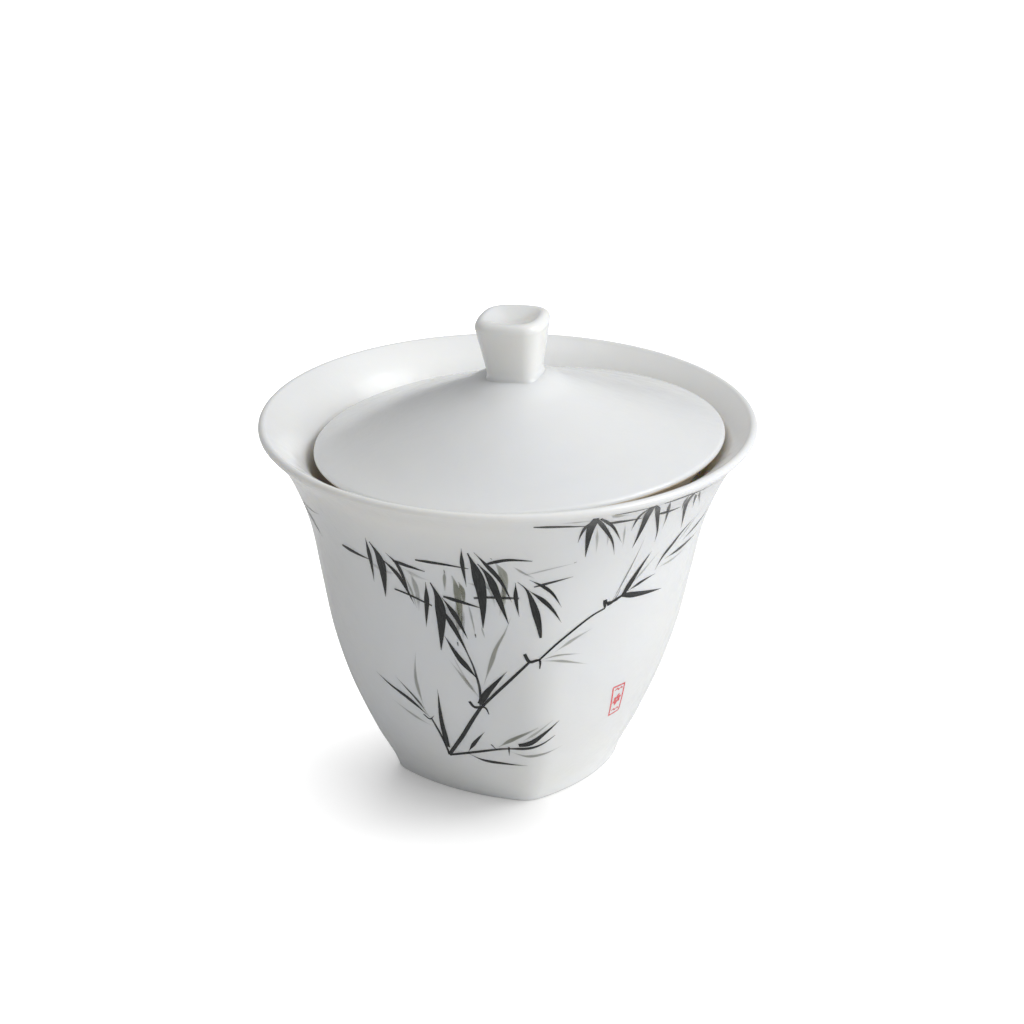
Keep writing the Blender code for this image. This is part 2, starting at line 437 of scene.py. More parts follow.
def bowlSection():
    top, (bottom, footRadius) = bowl["wall"][-1][0], bowl["wall"][0]
    recess, deep = bowl["recessRadius"], bowl["recessDepth"]
    section = [(0.0, deep), (recess - 6, deep), (recess - 2, deep)]
    section += bezierPoints((recess - 1.6, deep), (recess - 0.2, deep), (recess, 1.0),
                            (recess + 0.25, 0.35), 8)
    glazedIn = len(section)
    section += bezierPoints((recess + 0.28, 0.3), (recess + 0.35, 0.05), (recess + 0.5, 0),
                            (recess + 0.8, 0), 4)
    bareUntil = len(section) + 1
    section += bezierPoints((footRadius - 0.75, 0), (footRadius - 0.3, 0), (footRadius - 0.12, 0.1),
                            (footRadius - 0.06, 0.34), 6)
    section += bezierPoints((footRadius - 0.05, 0.4), (footRadius - 0.02, 0.46), (footRadius - 0.01, 0.52),
                            (footRadius, bottom), 3)
    steps = bowl["outerSteps"]
    heights = [bottom + (top - bottom) * (i / steps) for i in range(1, steps + 1)]
    section += [(smoothThrough(bowl["wall"], h), h) for h in heights]
    half = bowl["lipHalf"]
    radius, slope = wallPoint(top)
    start = -math.degrees(slope)
    section += arcPoints(radius - half * math.cos(slope), top + half * math.sin(slope), half,
                         start, start + 180, 18)[1:]
    inner = []
    for i in range(bowl["innerSteps"]):
        h = top - bowl["innerTop"] - (top - bowl["innerEnd"]) * i / (bowl["innerSteps"] - 1)
        radius, angle = wallPoint(h)
        wall = smoothThrough(bowl["thickness"], h)
        inner.append((radius - wall * math.cos(angle), h + wall * math.sin(angle)))
    section += [p for p in inner if p[1] < section[-1][1] - 0.2]
    (r1, z1), (r0, z0) = section[-1], section[-2]
    curve, floorR, floorZ = bowl["floorCurve"], bowl["floorRadius"], bowl["floorHeight"]
    run = curve / math.hypot(r1 - r0, z1 - z0)
    section += bezierPoints((r1, z1), (r1 + (r1 - r0) * run, z1 + (z1 - z0) * run),
                            (floorR + curve, floorZ), (floorR, floorZ), 18)[1:]
    section += [(6.0, floorZ), (3.0, floorZ), (0.0, floorZ)]
    bare = [1.0 if glazedIn <= i < bareUntil else 0.0 for i in range(len(section))]
    return section, bare


section, bare = bowlSection()
bowlPiece = addShell("bowl_porcelain", section, {
    "Segments": bowl["segments"], "Turn": math.radians(bowl["footTurn"]), "Square At Foot": 1.0,
    "Round From": bowl["roundFrom"] * mm, **planValues(bowl["footPlan"]),
}, bare=bare)
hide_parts("bowl")
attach(bowlPiece, "bowl")


lid = {
    "centre": (2.3, 0.3, 69.1),
    "tilt": (-1.0, -3.0),
    "radius": 41.2,
    "edgeHalf": 0.85,
    "wall": 2.4,
    "rise": ((0.0, 14.6), (6.6, 14.2), (12.0, 11.8), (22.0, 7.8), (32.0, 3.95), (40.55, 0.83)),
    "ringOuter": 38.0,
    "ringInner": 35.9,
    "ringDepth": 5.0,
    "ringTaper": 1.0,
    "ringRound": 0.7,
    "underMiddle": 11.8,
    "underRadii": (4, 8, 12, 16, 20, 24, 28, 32, 35),
    "topFrom": 40.5,
    "topTo": 1.0,
    "topSteps": 78,
    "plan": (1.0, 0.96, 0.56),  # not used while the lid is round, but it must be a possible plan
    "segments": 320,
}
lidPlace = (Matrix.Translation(Vector(lid["centre"]) * mm)
            @ Euler([math.radians(a) for a in lid["tilt"]] + [0]).to_matrix().to_4x4())


def lidSection():
    rise, brim = lid["rise"], -lid["edgeHalf"]
    outer, inner, deep, edge = lid["ringOuter"], lid["ringInner"], lid["ringDepth"], lid["ringRound"]
    section = [(0.0, lid["underMiddle"])]
    section += [(r - 0.9, smoothThrough(rise, r) - lid["wall"]) for r in lid["underRadii"]]
    section += [(inner - 0.5, smoothThrough(rise, inner + 0.4) - lid["wall"] - 0.2)]
    section += [(inner, smoothThrough(rise, inner + 0.9) - lid["wall"] - 1.2)]
    glazed = len(section)
    section += arcPoints(inner + edge, -deep + edge, edge, 180, 270, 6)
    section += arcPoints(outer - lid["ringTaper"] - edge, -deep + edge, edge, 270, 345, 6)
    section += [(outer, brim - 0.8), (outer + 0.2, brim - 0.25), (outer + 0.7, brim)]
    bareUntil = len(section) + 8  # bare clay goes on over the lower half of the edge; there its warm colour is partly the unglazed rim and partly a painted warm reflection in the gap against the wall
    section += arcPoints(lid["radius"] - lid["edgeHalf"], 0, lid["edgeHalf"], -90, 66, 14)
    first, last, steps = lid["topFrom"], lid["topTo"], lid["topSteps"]
    radii = [first - i * (first - last) / steps for i in range(steps + 1)]
    section += [(r, smoothThrough(rise, r)) for r in radii]
    section += [(0.0, rise[0][1])]
    flags = [1.0 if glazed <= i < bareUntil else 0.0 for i in range(len(section))]
    return section, flags


section, bare = lidSection()
lidPiece = addShell("lid_porcelain", section, {
    "Segments": lid["segments"], "Square At Foot": 0.0, **planValues(lid["plan"]),
}, place=lidPlace, bare=bare)
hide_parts("lid")
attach(lidPiece, "lid")

knob = {
    "turn": -15.0,
    "plan": (1.0, 0.96, 0.56),
    "roundFrom": 1000.0,  # metres, so the knob stays square all the way up
    "seat": 14.2,
    "gap": 0.3,
    "foot": 5.9,
    "top": 8.1,
    "height": 12.2,
    "lip": 1.6,
    "lipEnd": 112,
    "dish": 1.3,
    "dishCurve": 1.7,
    "sideHeights": (1.7, 2.4, 3.4, 4.6, 6.0, 7.4, 8.6, 9.6, 10.2),
    "segments": 160,
}


def knobSection():
    foot, height, lip = knob["foot"], knob["height"], knob["lip"]
    taper = (knob["top"] - foot) / (height - lip - 0.5)
    base = knob["gap"]
    section = [(0.0, -0.9 - base), (4.0, -0.9 - base), (foot + 0.9, -1.2 - base)]
    section += bezierPoints((foot + 1.3, -0.75 - base), (foot + 0.5, -0.15 - base), (foot + 0.06, 0.3),
                            (foot + taper * 0.8, 1.3), 10)
    section += [(foot + taper * (z - 0.5), z) for z in knob["sideHeights"]]
    end = math.radians(knob["lipEnd"])
    section += arcPoints(knob["top"] - lip, height - lip, lip, -8, knob["lipEnd"], 18)
    (rimR, rimZ), curve = section[-1], knob["dishCurve"]
    section += bezierPoints((rimR, rimZ), (rimR - curve * math.sin(end), rimZ + curve * math.cos(end)),
                            (2.4, rimZ - knob["dish"]), (0.0, rimZ - knob["dish"]), 16)[1:]
    return [(r, knob["seat"] + base + z) for r, z in section]


knobPiece = addShell("knob_porcelain", knobSection(), {
    "Segments": knob["segments"], "Turn": math.radians(knob["turn"]), "Square At Foot": 1.0,
    "Round From": knob["roundFrom"], **planValues(knob["plan"]),
}, place=lidPlace)
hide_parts("lid_knob")
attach(knobPiece, "lid")
print("shells done")


# Strokes are drawn on the outer wall: degrees round from the front, then millimetres up.
brush = {
    "arcPerDegree": 0.6,  # millimetres, only to space the points of a stroke
    "step": 0.35,
    "across": 7,
    "lift": 0.014,  # above the glaze, and a little more for every stroke so that none share a place
    "liftStep": 0.0004,
    "film": 0.09,
    "seedStep": 3.7,
    "sharpAngle": 50.0,
    "spread": 1.14,
    "taper": 1.3,  # 1 is a straight-sided point, more is rounder
    # share of the full width at the start and end, and how far along the belly is
    "leaf": (0.14, 0.07, 0.4),
    "wash": (0.3, 0.35, 0.35),
    "blade": (0.7, 0.05, 0.22),
    "blunt": (0.1, 0.34, 0.62),
    "stem": (0.9, 0.8, 0.5),
    "twig": (0.6, 0.28, 0.28),
    "tick": (0.95, 0.35, 0.3),
    "band": (0.95, 0.9, 0.5),
}

# kind, width in millimetres, how black, how olive, points
mainStem = [
    ("stem", 0.84, 0.95, 0.0, ((-29, 9.8), (-22.5, 13.8), (-17.7, 17.3), (-10, 24.4))),
    ("stem", 0.64, 0.95, 0.0, ((-10, 24.4), (-1, 31), (7, 37))),
    ("stem", 0.5, 0.95, 0.0, ((9.6, 37.2), (16, 41.2), (25, 45.4), (30.3, 46.8))),
    ("stem", 0.65, 0.95, 0.0, ((31, 47.4), (36.5, 48.9))),
    ("tick", 0.65, 0.95, 0.0, ((-13.8, 25.9), (-12, 24.6), (-8.2, 24.9), (-6.8, 23.2))),
    ("tick", 0.7, 0.95, 0.0, ((5.2, 38.7), (6.8, 36.9), (9.8, 37.2), (10, 35.2))),
    ("tick", 0.9, 0.95, 0.0, ((30, 48.8), (30.3, 46.8))),
    ("tick", 0.6, 0.95, 0.0, ((30.2, 48), (32, 47.9), (34.6, 48))),
]
lowLeft = [
    ("stem", 0.6, 0.9, 0.0, ((-29, 9.8), (-29.8, 14), (-32.4, 19))),
    ("tick", 0.45, 0.85, 0.0, ((-36, 19.7), (-33.5, 18.8), (-30.8, 20))),
    ("blade", 1.15, 0.95, 0.0, ((-28.2, 12), (-27.8, 18.5), (-26.4, 25), (-26, 27.5))),
    ("leaf", 1.0, 0.88, 0.1, ((-33, 19.3), (-40.5, 22.6), (-49, 25), (-54.5, 27))),
    ("leaf", 0.75, 0.7, 0.2, ((-33.5, 19.8), (-37, 23.2), (-44.5, 28))),
    ("leaf", 1.0, 0.36, 0.5, ((-34.4, 21.5), (-34.6, 28.5), (-31.8, 36))),
    ("leaf", 0.9, 0.34, 0.4, ((-34, 17), (-42, 18.5), (-51, 21))),
]
lowRight = [
    ("stem", 0.65, 0.9, 0.0, ((-29, 9.8), (-18, 11.6), (-5, 13.8), (0.4, 14.5))),
    ("twig", 0.75, 0.85, 0.0, ((0.4, 14.5), (8.8, 15.1), (13.5, 16.1), (18, 17.8))),
    ("tick", 0.4, 0.85, 0.0, ((0.5, 15), (0.7, 12.6))),
    ("tick", 0.4, 0.8, 0.0, ((-6.8, 15.1), (-4.6, 13.8))),
    ("leaf", 0.8, 0.9, 0.0, ((-18, 11.9), (-13.8, 15), (-9, 18.3))),
    ("leaf", 0.8, 0.85, 0.05, ((-18, 11.4), (-11, 10.3), (-1, 10.2), (8.5, 10.2))),
    ("blade", 1.2, 0.95, 0.0, ((4.3, 15.7), (8.8, 16.5), (13.6, 18.9), (18.8, 21.6))),
    ("wash", 1.0, 0.52, 0.7, ((-3.5, 14.7), (2.6, 17.4), (10.8, 20.5))),
    ("wash", 0.8, 0.33, 0.6, ((6, 17), (11, 19.4), (16, 22))),
    ("leaf", 0.95, 0.4, 0.35, ((1.3, 13.7), (7.5, 12.8), (14, 13.1), (23, 14.2))),
]
nodeLeaves = [
    ("blade", 1.35, 0.95, 0.0, ((-10, 25.6), (-7.2, 28.6), (-4, 31.3), (-0.2, 34.4))),
    ("twig", 0.6, 0.8, 0.0, ((-10, 24.5), (-9.5, 29), (-10.5, 33), (-12.2, 36.8), (-15.8, 42))),
    ("leaf", 1.2, 0.95, 0.0, ((-10, 31.9), (-12.6, 34), (-16.3, 37), (-20, 41.4))),
    ("leaf", 1.0, 0.34, 0.7, ((-9.6, 27), (-13.5, 30.4), (-19.4, 35.6))),
    ("leaf", 0.7, 0.24, 0.8, ((-11, 27.5), (-15, 32.5), (-18.5, 37.5))),
    ("leaf", 1.05, 0.42, 0.7, ((-8, 30.6), (-5.3, 36.1), (-3.5, 39.9), (-0.8, 43.7), (1, 47.3))),
    ("leaf", 0.9, 0.36, 0.6, ((14.5, 38.8), (20.5, 41), (27, 42.8))),
    ("leaf", 0.55, 0.45, 0.3, ((10, 37.2), (16, 37.9), (24, 37.2))),
    ("leaf", 0.75, 0.4, 0.6, ((10.4, 37), (17, 36.4), (27, 34.2))),
]
sprayLeft = [
    ("twig", 0.95, 0.9, 0.0, ((-53.5, 56.7), (-48, 56.3), (-42.6, 56))),
    ("leaf", 1.0, 0.92, 0.0, ((-40.8, 61.6), (-41.8, 57), (-43, 50.6))),
    ("leaf", 1.9, 0.97, 0.0, ((-39.8, 60.9), (-38.2, 57.8), (-38.3, 53.9), (-39.5, 47.8))),
    ("leaf", 1.0, 0.95, 0.0, ((-38, 57.6), (-32.8, 54), (-29, 47.8))),
    ("leaf", 0.9, 0.93, 0.0, ((-35.2, 59.2), (-32, 56.4), (-30.2, 50))),
    ("twig", 0.9, 0.9, 0.0, ((-33.4, 57.6), (-29, 57.1), (-23.6, 56.5))),
    ("stem", 0.5, 0.9, 0.0, ((-35.3, 50.4), (-30, 49.8), (-23, 48.3))),
    ("wash", 1.3, 0.31, 0.6, ((-28.5, 55.5), (-27.4, 51), (-27.8, 46.4))),
    ("wash", 0.7, 0.39, 0.5, ((-30.4, 54), (-29, 50), (-28.4, 47))),
    ("leaf", 1.2, 0.2, 0.5, ((-44, 55.8), (-38, 54.2), (-32, 54.5))),
    ("leaf", 1.1, 0.2, 0.4, ((-31, 56.4), (-26.5, 54.9), (-22.5, 54.4))),
]
sprayMiddle = [
    ("leaf", 1.05, 0.92, 0.0, ((-24, 53.8), (-24.6, 49), (-26, 42.8))),
    ("leaf", 2.0, 0.98, 0.0, ((-22.5, 53.9), (-20.8, 50.6), (-20.4, 46.5), (-21, 42), (-21.9, 37.8))),
    ("leaf", 1.05, 0.95, 0.0, ((-20.6, 48.8), (-16.5, 43.6), (-12.6, 37.8))),
    ("leaf", 1.05, 0.95, 0.0, ((-19.4, 50.6), (-15.7, 46.6), (-12.4, 41.5))),
    ("twig", 0.85, 0.9, 0.0, ((-19, 51), (-13, 50.1), (-8, 49.2))),
    ("wash", 0.85, 0.44, 0.7, ((-17.6, 57.4), (-18, 55), (-18.3, 52.4))),
    ("wash", 1.5, 0.55, 0.9, ((-15.6, 56.4), (-14.8, 53.7), (-14.2, 48), (-14.6, 43.6))),
    ("wash", 1.1, 0.56, 0.9, ((-13.9, 55), (-12.9, 52.6), (-12.8, 49.6))),
    ("wash", 1.0, 0.34, 0.6, ((-15.2, 51), (-15.2, 45.4), (-15.8, 40))),
    ("wash", 0.8, 0.26, 0.5, ((-13, 48.6), (-13.6, 44), (-14, 40.6))),
    ("wash", 0.6, 0.36, 0.3, ((-11.6, 50), (-10.5, 45.6), (-9.9, 42.4))),
    ("wash", 2.2, 0.17, 0.5, ((-18.6, 50), (-17, 46), (-16.4, 42))),
    ("band", 0.36, 0.7, 0.0, ((-15.9, 40.4), (-15.8, 39.5))),
    ("band", 0.36, 0.7, 0.0, ((-9.95, 42.9), (-9.8, 42))),
    ("band", 0.3, 0.6, 0.2, ((-17.7, 57.7), (-17.6, 56.9))),
]
sprayTop = [
    ("twig", 0.75, 0.9, 0.0, ((-25.8, 59.1), (-18, 59.1), (-10.6, 58.6))),
    ("leaf", 0.85, 0.93, 0.0, ((-11.9, 63.7), (-12.2, 59.6), (-11.7, 54))),
    ("leaf", 2.15, 0.99, 0.0, ((-10.4, 62.6), (-8.8, 58.6), (-7.6, 54), (-7.2, 49.4), (-7.4, 44.4))),
    ("leaf", 1.5, 0.97, 0.0, ((-8, 60), (-5.2, 56.8), (-2.6, 51.6), (0.3, 45.7))),
    ("leaf", 0.95, 0.93, 0.0, ((-8.7, 62.9), (-6, 60.1), (-2, 55.9), (1.2, 50.8))),
    ("twig", 0.85, 0.9, 0.0, ((-6.2, 59.8), (-3.5, 60.6), (0.6, 61.2), (6.5, 60.8))),
    ("stem", 0.65, 0.8, 0.05, ((-9.8, 51.4), (-5, 51.8), (3.3, 51.7))),
    ("wash", 1.7, 0.44, 0.95, ((-3.3, 60.4), (-1.4, 57.8), (-0.8, 54.3), (-1.2, 51))),
    ("wash", 1.3, 0.31, 0.8, ((-1.2, 55), (-1.3, 51), (-2.4, 47.6))),
    ("wash", 0.9, 0.26, 0.5, ((-6.6, 56), (-4.6, 52.8), (-3.6, 49.6))),
    ("wash", 0.75, 0.35, 0.5, ((1.6, 59.4), (4, 58), (7.4, 56.4))),
    ("wash", 0.5, 0.33, 0.4, ((4.2, 57.2), (11, 58.4), (18.4, 59.4))),
    ("wash", 0.5, 0.39, 0.3, ((-8, 44.8), (-6.9, 42))),
    ("band", 0.34, 0.55, 0.2, ((-4.6, 61.6), (-4, 61.3))),
    ("band", 0.32, 0.45, 0.2, ((18, 59.4), (18.8, 59.6))),
    ("wash", 0.9, 0.26, 0.4, ((-11.6, 55), (-8, 54.4), (-3, 53.6))),
]
sprayRight = [
    ("leaf", 0.85, 0.92, 0.0, ((2.2, 55.4), (2.4, 51.3), (3.4, 47.4))),
    ("blunt", 1.4, 0.97, 0.0, ((2.8, 55.6), (5.4, 53.6), (7.5, 49.8), (9, 46), (9.9, 42.4))),
    ("leaf", 0.9, 0.93, 0.0, ((5.8, 53.6), (10.2, 51), (13.2, 48.6), (16, 45.5))),
    ("leaf", 0.75, 0.9, 0.0, ((6, 56.1), (10, 54.3), (13, 52.3), (15.8, 49))),
    ("twig", 0.65, 0.8, 0.0, ((7.4, 54.3), (12, 55.1), (18.4, 56))),
]
upperRight = [
    ("blade", 1.25, 0.95, 0.0, ((36.5, 48.9), (39.8, 52.8), (43.8, 57.6))),
    ("blade", 1.25, 0.93, 0.0, ((36, 48.9), (40.5, 48.1), (46.7, 47.3), (54.5, 46.4))),
    ("leaf", 0.7, 0.85, 0.0, ((38, 49.4), (43.5, 50.6), (49, 51.2))),
    ("leaf", 0.6, 0.5, 0.2, ((32, 47.2), (36, 53), (38, 57.6), (38.8, 62.6))),
    ("leaf", 0.8, 0.3, 0.6, ((37.6, 50.2), (42.5, 53), (48, 57))),
    ("leaf", 0.55, 0.4, 0.3, ((31.6, 46.6), (34.4, 49.4), (35.4, 52))),
    ("leaf", 1.0, 0.85, 0.0, ((48.2, 52.2), (50.4, 55), (53.2, 57), (55.5, 58.9), (60, 61.4))),
    ("leaf", 0.9, 0.8, 0.05, ((51.8, 53.9), (60.5, 54.5), (70.5, 55.2))),
    ("leaf", 0.9, 0.75, 0.1, ((59, 56.4), (64.5, 57.7), (69.5, 59), (74, 61))),
    ("leaf", 0.8, 0.3, 0.6, ((49, 52.4), (57, 52.6), (65, 53.6))),
    ("leaf", 0.7, 0.35, 0.5, ((55, 56), (60, 60), (64, 64))),
]
highRight = [
    ("twig", 0.95, 0.9, 0.0, ((6, 70.3), (13, 69.8), (19.4, 69))),
    ("leaf", 0.7, 0.35, 0.4, ((12, 71), (17, 70.8), (22, 70.8))),
    ("leaf", 0.8, 0.9, 0.0, ((20.8, 71.3), (18.8, 68.6), (18, 64.6))),
    ("blade", 1.7, 0.97, 0.0, ((20.4, 71.4), (20.4, 68.1), (20.7, 64.3), (21, 60.6))),
    ("blade", 0.95, 0.93, 0.0, ((20.8, 71), (25, 66.8), (28, 63.4), (29.8, 59.8))),
    ("blade", 0.8, 0.9, 0.0, ((21.8, 71), (26.6, 67.5), (31, 62.6))),
    ("twig", 0.85, 0.9, 0.0, ((24.2, 69), (29, 68.6), (34.4, 68.2))),
    ("twig", 0.6, 0.7, 0.1, ((25, 71.6), (30.2, 71.4), (38.5, 71.4))),
    ("leaf", 0.8, 0.3, 0.5, ((22.2, 68), (23.4, 64), (24, 60.8))),
    ("leaf", 0.7, 0.28, 0.5, ((25.2, 68), (26.2, 65), (26.8, 62))),
    ("leaf", 0.7, 0.3, 0.5, ((30, 67.6), (31.2, 64), (32, 60.8))),
    ("wash", 1.6, 0.3, 0.6, ((24, 71.6), (26, 70.9), (29, 70.6))),
    ("leaf", 0.8, 0.85, 0.0, ((34.6, 71.8), (33.2, 69.3), (32.8, 65.2))),
    ("blade", 1.6, 0.95, 0.0, ((34.9, 71.4), (36, 67), (36, 63.5), (35.4, 60.4))),
    ("blade", 1.1, 0.93, 0.0, ((35.6, 71.5), (38.4, 69.2), (42.5, 63.2), (43.4, 60))),
    ("twig", 0.8, 0.85, 0.0, ((39.7, 68), (43.5, 67.6), (47.5, 67.6))),
    ("leaf", 0.85, 0.75, 0.0, ((39.8, 71.8), (42.6, 68.3), (44, 65.4), (44.4, 63))),
    ("leaf", 0.75, 0.75, 0.0, ((46.2, 71.5), (47.8, 68.8), (49.5, 66))),
    ("blade", 1.2, 0.9, 0.0, ((48.3, 70.9), (50, 67.2), (52.3, 63.6), (54, 60.6))),
    ("leaf", 0.75, 0.75, 0.0, ((49, 70.6), (52, 68.8), (55, 65.2))),
    ("leaf", 0.65, 0.7, 0.0, ((50, 71.3), (54, 68.5), (58, 65.4))),
    ("twig", 0.75, 0.8, 0.0, ((38.5, 71.4), (46, 71.4), (50.6, 71), (56.5, 71.2))),
]
roundTheSide = [
    ("twig", 0.8, 0.55, 0.1, ((-76, 60.8), (-69, 61.2), (-64, 61.5), (-60.3, 62.1))),
    ("leaf", 1.7, 0.7, 0.1, ((-75, 60.5), (-70.5, 58), (-66.6, 55))),
    ("leaf", 0.9, 0.6, 0.1, ((-81, 58.6), (-82, 54), (-84, 50))),
    ("leaf", 1.2, 0.25, 0.6, ((-86, 59), (-88, 55), (-88, 51))),
]
bamboo = (mainStem + lowLeft + lowRight + nodeLeaves + sprayLeft + sprayMiddle + sprayTop + sprayRight
          + upperRight + highRight + roundTheSide)


def strokeLines(name, strokes):
    points, edges, columns = [], [], {}
    order = sorted(strokes, key=lambda stroke: stroke[2])  # pale washes lie under black strokes
    for number, (kind, width, ink, olive, path) in enumerate(order):
        start, end, belly = brush[kind]
        first = len(points)
        points += [(deg * brush["arcPerDegree"] * mm, 0, up * mm) for deg, up in path]
        edges += [(i, i + 1) for i in range(first, len(points) - 1)]
        lift = (brush["lift"] + number * brush["liftStep"]) * mm
        row = {"halfWidth": width * brush["spread"] * mm / 2, "ink": ink, "olive": olive, "lift": lift,
               "seed": number * brush["seedStep"], "startShare": start, "endShare": end, "belly": belly}
        for title, value in row.items():
            columns[title] = columns.get(title, []) + [value] * len(path)
    mesh = bpy.data.meshes.new(name)
    mesh.from_pydata(points, edges, [])
    for title, values in columns.items():
        mesh.attributes.new(title, "FLOAT", "POINT").data.foreach_set("value", values)
    return linkObject(bpy.data.objects.new(name, mesh))


castFrom = 0.08  # metres from the axis, outside the widest wall
dropFrom = 0.004  # metres above the wall, for the ribbon's points


# One tree lays every stroke on the wall: a centre line, a ribbon as wide as the brush was pressed,
# and each point of the ribbon dropped onto the glaze.
def buildStrokeTree():
    tree, entry, leave = newTree("brushStroke", (
        ("Lines", "NodeSocketGeometry"),
        ("Wall", "NodeSocketObject"),
        ("Arc Per Degree", "NodeSocketFloat", 0.0006),
        ("Step", "NodeSocketFloat", 0.0004),
        ("Across", "NodeSocketInt", 7),
        ("Ink", "NodeSocketMaterial"),
    ))

    def given(name):
        return Wire(tree, entry.outputs[name])

    def named(title):
        return wireFrom(tree, "GeometryNodeInputNamedAttribute", {"Name": title}, data_type="FLOAT")

    def vector(operation, a, b=None, scale=None):
        inputs = {0: a}
        if b is not None:
            inputs[1] = b
        if scale is not None:
            inputs["Scale"] = scale
        output = 1 if operation == "DOT_PRODUCT" else 0
        return wireFrom(tree, "ShaderNodeVectorMath", inputs, output, operation=operation)

    def castTo(start, direction):
        node = addNode(tree, "GeometryNodeRaycast", {
            "Target Geometry": wall, "Source Position": start, "Ray Direction": direction,
            "Ray Length": 1.0})
        return Wire(tree, node.outputs["Hit Position"]), Wire(tree, node.outputs["Hit Normal"])

    wall = addNode(tree, "GeometryNodeObjectInfo", {"Object": given("Wall")}).outputs["Geometry"]
    curve = addNode(tree, "GeometryNodeMeshToCurve", {0: given("Lines")})
    soft = addNode(tree, "GeometryNodeCurveSplineType", {0: curve.outputs[0]}, spline_type="CATMULL_ROM")
    fine = addNode(tree, "GeometryNodeSetSplineResolution", {0: soft.outputs[0], "Resolution": 24})
    even = addNode(tree, "GeometryNodeResampleCurve", {"Curve": fine.outputs[0], "Length": given("Step")},
                   mode="LENGTH")

    position = addNode(tree, "GeometryNodeInputPosition").outputs[0]
    flat = addNode(tree, "ShaderNodeSeparateXYZ", {0: position})
    angle = Wire(tree, flat.outputs[0]) / given("Arc Per Degree") * math.radians(1) - math.pi / 2
    outwards = wireFrom(tree, "ShaderNodeCombineXYZ", {0: angle.math("COSINE"), 1: angle.math("SINE")})
    level = wireFrom(tree, "ShaderNodeCombineXYZ", {2: Wire(tree, flat.outputs[2])})
    outside = vector("ADD", vector("SCALE", outwards, scale=castFrom), level)
    place, normal = castTo(outside, vector("SCALE", outwards, scale=-1.0))
    hold = addNode(tree, "GeometryNodeCaptureAttribute", {0: even.outputs[0]})
    hold.capture_items.new("VECTOR", "normal")
    feed(tree, normal, hold.inputs[1])
    hold.capture_items.new("VECTOR", "place")
    feed(tree, place, hold.inputs[2])
    onWall = addNode(tree, "GeometryNodeSetPosition",
                     {"Geometry": hold.outputs[0], "Position": hold.outputs[2]})

    parameter = addNode(tree, "GeometryNodeSplineParameter")
    t, along = Wire(tree, parameter.outputs["Factor"]), Wire(tree, parameter.outputs["Length"])
    belly, startShare, endShare = named("belly"), named("startShare"), named("endShare")
    rising = rampBetween(tree, t, 0.0, belly, startShare, 1.0)
    fallen = ((t - belly) / (1.0 - belly)).math("MAXIMUM", 0.0).math("POWER", brush["taper"])
    press = rising.math("MINIMUM", 1.0 - fallen * (1.0 - endShare))
    tangent = addNode(tree, "GeometryNodeInputTangent").outputs[0]
    keep = addNode(tree, "GeometryNodeCaptureAttribute", {0: onWall.outputs[0]})
    for kind, title, value in (("VECTOR", "middle", position), ("VECTOR", "tangent", tangent),
                               ("FLOAT", "half", named("halfWidth") * press), ("FLOAT", "along", along),
                               ("FLOAT", "part", t)):
        keep.capture_items.new(kind, title)
        feed(tree, value, keep.inputs[len(keep.capture_items)])
    middle, direction, half, length, part = (Wire(tree, keep.outputs[i]) for i in range(1, 6))

    line = addNode(tree, "GeometryNodeMeshLine", {"Count": given("Across"), "Start Location": (-1, 0, 0),
                                                  "Offset": (2, 0, 0)}, mode="END_POINTS")
    profile = addNode(tree, "GeometryNodeMeshToCurve", {0: line.outputs[0]})
    keepAcross = addNode(tree, "GeometryNodeCaptureAttribute", {0: profile.outputs[0]})
    keepAcross.capture_items.new("FLOAT", "across")
    feed(tree, Wire(tree, flat.outputs[0]), keepAcross.inputs[1])
    across = Wire(tree, keepAcross.outputs[1])
    ribbon = addNode(tree, "GeometryNodeCurveToMesh",
                     {"Curve": keep.outputs[0], "Profile Curve": keepAcross.outputs[0]})

    wallNormal = Wire(tree, hold.outputs[1])
    side = vector("NORMALIZE", vector("CROSS_PRODUCT", wallNormal, direction))
    over = vector("ADD", vector("ADD", middle, vector("SCALE", side, scale=half * across)),
                  vector("SCALE", wallNormal, scale=dropFrom))
    landed, landedNormal = castTo(over, vector("SCALE", wallNormal, scale=-1.0))
    film = vector("ADD", landed, vector("SCALE", landedNormal, scale=named("lift")))
    laid = addNode(tree, "GeometryNodeSetPosition",
                   {"Geometry": ribbon.outputs[0], "Position": film}).outputs[0]
    for title, value in (("across", across), ("half", half), ("along", length), ("part", part)):
        laid = addNode(tree, "GeometryNodeStoreNamedAttribute",
                       {"Geometry": laid, "Name": title, "Value": value}, data_type="FLOAT").outputs[0]
    smooth = addNode(tree, "GeometryNodeSetShadeSmooth", {"Geometry": laid})
    real = addNode(tree, "GeometryNodeRealizeInstances", {0: smooth.outputs[0]})
    inked = addNode(tree, "GeometryNodeSetMaterial",
                    {"Geometry": real.outputs[0], "Material": given("Ink")})
    tree.links.new(inked.outputs[0], leave.inputs[0])
    return tree


